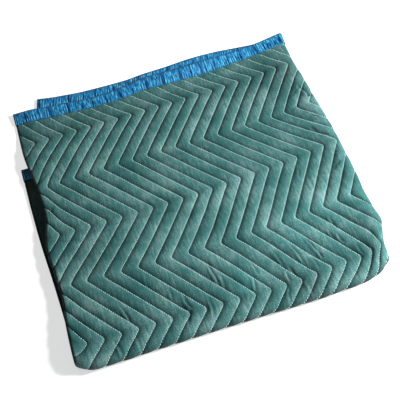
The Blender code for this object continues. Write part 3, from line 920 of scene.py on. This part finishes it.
# %% Skin the lines
def tape_piece(name, node, at_far_end, start):
    """A gathered tape over a bound edge, from hem to hem."""
    count_across = round((RIGHT_HEM - LEFT_HEM) / TAPE_STEP)
    across = np.linspace(LEFT_HEM - TAPE_END, RIGHT_HEM + TAPE_END, count_across)
    to_hem = np.minimum(across - LEFT_HEM, RIGHT_HEM - across)
    # Painted shade: the share is cut near the tape's ends and held low all over on the lower tape
    unshaded = np.clip(to_hem / TAPE_END_SHADE, 0.0, LOW_TAPE_SHADE if at_far_end else 1.0)
    rings, places, gathered = [], [], []
    for into, height, ripple, share in tape_strings(across, start):
        along = LENGTH - into if at_far_end else into
        rings.append(raised(across, along, height))
        places.append(np.stack([across, into], axis=-1))
        # First value: painted shade and highlight of the puckers; second: the share that feeds the
        # painted shade at the fold
        gathered.append(np.stack([0.5 + ripple / (2 * PLEAT_DEPTH), share * unshaded], axis=-1))
    count = len(rings)
    points = np.stack(rings, axis=1).reshape(-1, 3)
    places = np.stack(places, axis=1).reshape(-1, 2)
    gathered = np.stack(gathered, axis=1).reshape(-1, 2)
    last_ring = (len(across) - 1) * count
    faces = []
    for base in range(0, last_ring, count):
        for k in range(count):
            after = (k + 1) % count
            faces.append((base + k, base + after, base + count + after, base + count + k))
    for base in (0, last_ring):
        faces.append(tuple(base + k for k in range(count)))
    piece = new_piece(name, points, faces, {"cloth": places, "gathers": gathered})
    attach(piece, "root")
    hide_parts(node)
    print(name, len(piece.data.polygons), "faces")
    return piece


tape_top = tape_piece("binding_tape_top", "binding_top", False, 1)
tape_low = tape_piece("binding_tape_low", "binding_low", True, 2)

# %% [markdown]

# %% [markdown]
# ## Shared surface effects
#
# Both fabrics are made of threads and both fade and lint in patches, so these effects are
# node groups. A group puts out masks only. The shader itself stays in each material.

# %% Helpers for nodes
def node(tree, kind, place, **values):
    """Adds a node, sets its properties, and then its inputs by name."""
    made = tree.nodes.new(kind)
    made.location = place
    for key, value in values.pop("inputs", {}).items():
        made.inputs[key].default_value = value
    for key, value in values.items():
        setattr(made, key, value)
    return made


def noise(tree, place, vector, scale, detail, roughness, distortion=0.0):
    """Soft noise at a place in space, as a socket."""
    made = node(tree, "ShaderNodeTexNoise", place)
    names = ("Scale", "Detail", "Roughness", "Distortion")
    for name, value in zip(names, (scale, detail, roughness, distortion)):
        made.inputs[name].default_value = value
    tree.links.new(vector, made.inputs["Vector"])
    return made.outputs["Fac"]


def stretched(tree, place, vector, scale, turn=0.0):
    """A place in space, stretched and turned, as a socket."""
    made = node(tree, "ShaderNodeMapping", place)
    made.inputs["Rotation"].default_value = (0, 0, turn)
    made.inputs["Scale"].default_value = scale
    tree.links.new(vector, made.inputs["Vector"])
    return made.outputs["Vector"]


# %% The group of patches, streaks and fibres
NAP_TURN = math.radians(-34)  # the way that the nap is brushed


def cloth_patches():
    """Node group: patches of tone, brushed streaks and fine fibres, from a place in metres."""
    tree = bpy.data.node_groups.new("Cloth patches", "ShaderNodeTree")
    tree.interface.new_socket("Place", in_out="INPUT", socket_type="NodeSocketVector")
    for name in ("Patches", "Streaks", "Fibres"):
        tree.interface.new_socket(name, in_out="OUTPUT", socket_type="NodeSocketFloat")
    enter = node(tree, "NodeGroupInput", (-800, 0))
    leave = node(tree, "NodeGroupOutput", (400, 0))
    where = enter.outputs["Place"]
    brushed = stretched(tree, (-500, 0), where, (150.0, 26.0, 1.0), NAP_TURN)
    sources = {
        "Patches": noise(tree, (-200, 300), where, 9.0, 5.0, 0.6),
        "Streaks": noise(tree, (-200, 0), brushed, 1.0, 4.0, 0.65, 0.5),
        "Fibres": noise(tree, (-200, -300), where, 260.0, 4.0, 0.7),
    }
    for name, source in sources.items():
        tree.links.new(source, leave.inputs[name])
    return tree


PATCHES = cloth_patches()
print("group:", PATCHES.name)

# %% [markdown]
# ## Teal quilted cloth
#
# The face cloth is a brushed fabric. Its nap is pressed in different directions, so it
# shows lighter and darker wisps. Painted shade darkens the shaded wall just right of each
# stitch line and a painted highlight pales the lit wall just left of it; the troughs of
# creases and the rolled left hem get painted shade too. A soft sheen stands for the nap.

# %% Helpers for materials
def ramp(tree, place, value, stops):
    """The colour of a value on a ramp through (position, colour) stops, as a socket."""
    made = node(tree, "ShaderNodeValToRGB", place)
    elements = made.color_ramp.elements
    while len(elements) < len(stops):
        elements.new(0.5)
    for element, (position, colour) in zip(elements, stops):
        element.position = position
        element.color = (*colour, 1.0)
    tree.links.new(value, made.inputs["Fac"])
    return made.outputs["Color"]


def maths(tree, operation, place, *values):
    """The result of a math node; the values are sockets or numbers."""
    made = node(tree, "ShaderNodeMath", place, operation=operation)
    for socket, value in zip(made.inputs, values):
        if isinstance(value, bpy.types.NodeSocket):
            tree.links.new(value, socket)
        else:
            socket.default_value = value
    return made.outputs[0]


def multiply(tree, place, first, second):
    """The product of two colours, as a socket."""
    made = node(tree, "ShaderNodeMix", place, data_type="RGBA", blend_type="MULTIPLY")
    made.inputs["Factor"].default_value = 1.0
    tree.links.new(first, made.inputs["A"])
    tree.links.new(second, made.inputs["B"])
    return made.outputs["Result"]


def map_parts(tree, place, name):
    """The two values of a UV map, as sockets."""
    source = node(tree, "ShaderNodeUVMap", place, uv_map=name)
    split = node(tree, "ShaderNodeSeparateXYZ", (place[0] + 200, place[1]))
    tree.links.new(source.outputs["UV"], split.inputs["Vector"])
    return split.outputs["X"], split.outputs["Y"]


def bump(tree, place, height, distance, under=None):
    """A normal raised by a height, over another normal if there is one."""
    made = node(tree, "ShaderNodeBump", place, inputs={"Strength": 0.5, "Distance": distance})
    tree.links.new(height, made.inputs["Height"])
    if under is not None:
        tree.links.new(under, made.inputs["Normal"])
    return made.outputs["Normal"]


def new_material(name):
    """A material, its node tree, its Principled shader, and the group at home in it."""
    material = bpy.data.materials.new(name)
    material.use_nodes = True
    tree = material.node_tree
    patches = node(tree, "ShaderNodeGroup", (-1100, 100), node_tree=PATCHES)
    place = node(tree, "ShaderNodeUVMap", (-1400, 0), uv_map="cloth").outputs["UV"]
    tree.links.new(place, patches.inputs["Place"])
    return material, tree, tree.nodes["Principled BSDF"], patches.outputs


print("helpers for materials are ready")

# %% Colours of the quilted cloth
TONE_SHARES = (("Streaks", 0.40), ("Patches", 0.45), ("Fibres", 0.45))
TEAL = (
    (0.52, (0.016, 0.094, 0.090)),
    (0.64, (0.041, 0.146, 0.141)),
    (0.77, (0.150, 0.280, 0.272)),
)
CHANNEL_SHADE_AND_HIGHLIGHT = (
    # from the stitch line on a channel's left to the one on its right: painted shade just right of a
    # line, painted highlight just left of it
    (0.00, (0.92, 0.92, 0.92)),
    (0.02, (0.36, 0.38, 0.39)),
    (0.09, (0.37, 0.39, 0.40)),
    (0.18, (0.55, 0.56, 0.56)),
    (0.50, (0.59, 0.59, 0.59)),
    (0.88, (0.60, 0.60, 0.60)),
    (0.95, (0.92, 0.88, 0.88)),
)
# Painted shade in the troughs of creases; 1.667 where there is no crease evens out the channel ramp
CREASE_PAINTED_SHADE = ((0.0, (1.667, 1.667, 1.667)), (0.8, (0.7, 0.72, 0.74)))
# Painted shade over the rolled left hem
HEM_PAINTED_SHADE = ((0.0, (0.03, 0.03, 0.04)), (0.45, (0.10, 0.10, 0.10)), (0.85, (1.0, 1.0, 1.0)))
print("stops across a channel:", len(CHANNEL_SHADE_AND_HIGHLIGHT))


# %% Material of the quilted cloth
def quilted_cloth_material():
    """Brushed teal cloth, with painted shade and a painted highlight beside its stitch lines."""
    material, tree, surface, masks = new_material("quilted_cloth")
    tone = None
    for step, (mask, share) in enumerate(TONE_SHARES):
        part = maths(tree, "MULTIPLY", (-700, 450 - 150 * step), masks[mask], share)
        tone = part if tone is None else maths(tree, "ADD", (-500, 450 - 150 * step), tone, part)
    colour = ramp(tree, (-200, 300), tone, TEAL)

    # Painted shade and highlight across a channel, painted shade in the troughs of creases and on the
    # rolled hem, and the tone of faded places with its painted light
    line = map_parts(tree, (-1400, -400), "quilt")[0]
    trough, hem = map_parts(tree, (-1400, -700), "marks")
    channel = maths(tree, "FRACT", (-1000, -400), line)
    layers = (
        ramp(tree, (-600, -400), channel, CHANNEL_SHADE_AND_HIGHLIGHT),
        ramp(tree, (-600, -700), trough, CREASE_PAINTED_SHADE),
        ramp(tree, (-600, -900), hem, HEM_PAINTED_SHADE),
        map_parts(tree, (200, 600), "fading")[0],
    )
    for step, layer in enumerate(layers):
        colour = multiply(tree, (50 + 200 * step, 200), colour, layer)
    tree.links.new(colour, surface.inputs["Base Color"])

    # Nap and fibres stand up a little, and the nap is duller where it is thin
    nap = bump(tree, (-100, -250), masks["Streaks"], 0.0012)
    fuzz = bump(tree, (100, -250), masks["Fibres"], 0.0005, nap)
    tree.links.new(fuzz, surface.inputs["Normal"])
    dull = maths(tree, "MULTIPLY_ADD", (-300, -50), masks["Streaks"], -0.25, 0.80)
    tree.links.new(dull, surface.inputs["Roughness"])
    surface.inputs["Specular IOR Level"].default_value = 0.22
    surface.inputs["Sheen Weight"].default_value = 0.05
    surface.inputs["Sheen Roughness"].default_value = 0.45
    surface.inputs["Sheen Tint"].default_value = (0.55, 0.85, 0.80, 1.0)
    return material


blanket.data.materials.append(quilted_cloth_material())
print("material:", blanket.data.materials[0].name)


# %% Material of the quilting thread
def thread_material(name, colour):
    """Twisted thread: a fine pattern of two tones and a soft shine."""
    material = bpy.data.materials.new(name)
    material.use_nodes = True
    tree = material.node_tree
    surface = tree.nodes["Principled BSDF"]
    place = node(tree, "ShaderNodeTexCoord", (-800, 0)).outputs["Object"]
    twist = noise(tree, (-600, 0), place, 1500.0, 2.0, 0.5)
    dark = tuple(0.75 * part for part in colour)
    pale = tuple(min(1.0, 1.2 * part) for part in colour)
    colour_out = ramp(tree, (-400, 0), twist, ((0.3, dark), (0.7, pale)))
    tree.links.new(colour_out, surface.inputs["Base Color"])
    surface.inputs["Roughness"].default_value = 0.5
    return material


stitching.data.materials.append(thread_material("quilting_thread", (0.56, 0.76, 0.73)))
print("material:", stitching.data.materials[0].name)

# %% [markdown]
# ## Blue binding tape
#
# The tape is a plain weave of shiny polyester. The weave is finer than a pixel from where
# we stand, but close up it shows, so two crossing waves make its threads. Painted ticks of
# shade and highlight run across the tape, where it is creped between the larger puckers;
# the puckers get painted shade in their creases and painted highlight on their crests; its
# folded edge is painted nearly black, a painted shadow; and its ends and the whole lower
# tape are painted darker, a painted shade.

# %% Material of the tape
THREAD_PITCH = 0.0011
# From dark to pale: painted shade in the creases of the puckers, painted highlight on their crests
BLUE = (
    (0.12, (0.001, 0.030, 0.120)),
    (0.30, (0.006, 0.140, 0.350)),
    (0.52, (0.018, 0.270, 0.560)),
    (0.68, (0.140, 0.600, 0.860)),
)
# Painted shadow: nearly black at the folded edge, and darker where the share is held low
TAPE_FOLD_SHADE = ((0.0, (0.16, 0.20, 0.26)), (0.09, (0.8, 0.8, 0.8)), (0.2, (1.0, 1.0, 1.0)))


def binding_material():
    """Woven blue tape, with painted shade in the creases of its puckers, painted highlight on their
    crests and painted shadow at its fold.
    """
    material, tree, surface, masks = new_material("binding_tape")
    threads = []
    for axis, way in enumerate(map_parts(tree, (-1400, -200), "cloth")):
        wave = maths(tree, "MULTIPLY", (-1000, -100 - 200 * axis), way, math.tau / THREAD_PITCH)
        threads.append(maths(tree, "SINE", (-850, -100 - 200 * axis), wave))
    weave = maths(tree, "MULTIPLY", (-700, -200), *threads)

    # Tone: painted shade and highlight of the puckers, then streaks, then painted ticks of shade and
    # highlight between the puckers
    pucker, from_fold = map_parts(tree, (-1400, 500), "gathers")
    place = node(tree, "ShaderNodeUVMap", (-1400, 900), uv_map="cloth").outputs["UV"]
    narrow = stretched(tree, (-1200, 900), place, (300.0, 42.0, 1.0))
    # Painted ticks of shade and highlight for the fine creping between the puckers
    ticks = noise(tree, (-1000, 900), narrow, 1.0, 2.0, 0.5)
    creped = maths(tree, "MULTIPLY_ADD", (-800, 900), ticks, 1.5, -0.80)
    speckle = maths(tree, "MULTIPLY_ADD", (-900, 350), masks["Streaks"], 0.5, -0.25)
    tone = maths(tree, "ADD", (-700, 350), pucker, speckle)
    tone = maths(tree, "ADD", (-600, 500), tone, creped)
    colour = ramp(tree, (-300, 100), tone, BLUE)
    colour = multiply(tree, (0, 300), colour, ramp(tree, (-500, 600), from_fold, TAPE_FOLD_SHADE))
    tree.links.new(colour, surface.inputs["Base Color"])
    tree.links.new(bump(tree, (-200, -300), weave, 0.0003), surface.inputs["Normal"])
    dull = maths(tree, "MULTIPLY_ADD", (-300, -100), masks["Fibres"], 0.3, 0.30)
    tree.links.new(dull, surface.inputs["Roughness"])
    surface.inputs["Specular IOR Level"].default_value = 0.3
    return material


woven_tape = binding_material()
for tape in (tape_top, tape_low):
    tape.data.materials.append(woven_tape)
print("material:", woven_tape.name)

# %% [markdown]
# ## Floor, light and camera
#
# The blanket lies on a plain pale floor, which glows a little, as paper under a lamp does.
# The main light stands fairly low to the right and in front, so that every groove has a lit
# wall and a shaded wall. A wide weak light behind and the sky fill the shadows softly.

# %% Floor
floor_mesh = bpy.data.meshes.new("floor")
floor_mesh.from_pydata([(-9, -9, 0), (9, -9, 0), (9, 9, 0), (-9, 9, 0)], [], [(0, 1, 2, 3)])
floor = bpy.data.objects.new("floor", floor_mesh)
floor.location.z = -0.0005
bpy.context.scene.collection.objects.link(floor)
paint = bpy.data.materials.new("pale_floor")
paint.use_nodes = True
shader = paint.node_tree.nodes["Principled BSDF"]
shader.inputs["Base Color"].default_value = (0.8, 0.8, 0.8, 1)
shader.inputs["Roughness"].default_value = 0.9
shader.inputs["Emission Color"].default_value = (1, 1, 1, 1)
shader.inputs["Emission Strength"].default_value = 0.6
floor_mesh.materials.append(paint)
print("floor:", tuple(floor.dimensions))


# %% Lights
def area_light(name, place, size, power):
    """A square white light that faces the middle of the floor."""
    data = bpy.data.lights.new(name, "AREA")
    data.size, data.energy = size, power
    lamp = bpy.data.objects.new(name, data)
    lamp.location = place
    lamp.rotation_euler = (-Vector(place)).to_track_quat("-Z", "Y").to_euler()
    bpy.context.scene.collection.objects.link(lamp)
    print("light:", name, power, "W")


area_light("key", (2.4, -0.98, 1.75), 0.5, 172)
area_light("fill", (-0.6, 2.2, 2.6), 2.5, 10)
world = bpy.data.worlds.new("studio")
bpy.context.scene.world = world
world.use_nodes = True
world.node_tree.nodes["Background"].inputs["Color"].default_value = (0.92, 0.96, 1.0, 1)
world.node_tree.nodes["Background"].inputs["Strength"].default_value = 0.09
bpy.context.scene.view_settings.view_transform = "Standard"

# %% [markdown]
# ## Camera
#
# Its place, its turn and its focal length were found by matching the corners of the zigzag
# to their places in the photo.

# %% Camera
FOCAL, PICTURE, SENSOR = 782, 400, 36.0  # pixels, pixels, millimetres
RIGHT = Vector((0.9465, -0.3109, -0.0858))
UP = Vector((0.2994, 0.7477, 0.5927))
BACK = RIGHT.cross(UP)
STAND = (0.1516, -1.8998, 2.0089)  # from the origin of the stitching
view = bpy.data.cameras.new("camera")
view.sensor_width, view.lens = SENSOR, FOCAL / PICTURE * SENSOR
camera = bpy.data.objects.new("camera", view)
place = Vector((STITCH_ORIGIN[0] + STAND[0], STITCH_ORIGIN[1] + STAND[1], STAND[2]))
turn = Matrix((RIGHT, UP, BACK)).transposed().to_4x4()
camera.matrix_world = Matrix.Translation(place) @ turn
bpy.context.scene.collection.objects.link(camera)
bpy.context.scene.camera = camera
print(f"lens {view.lens:.1f} mm")
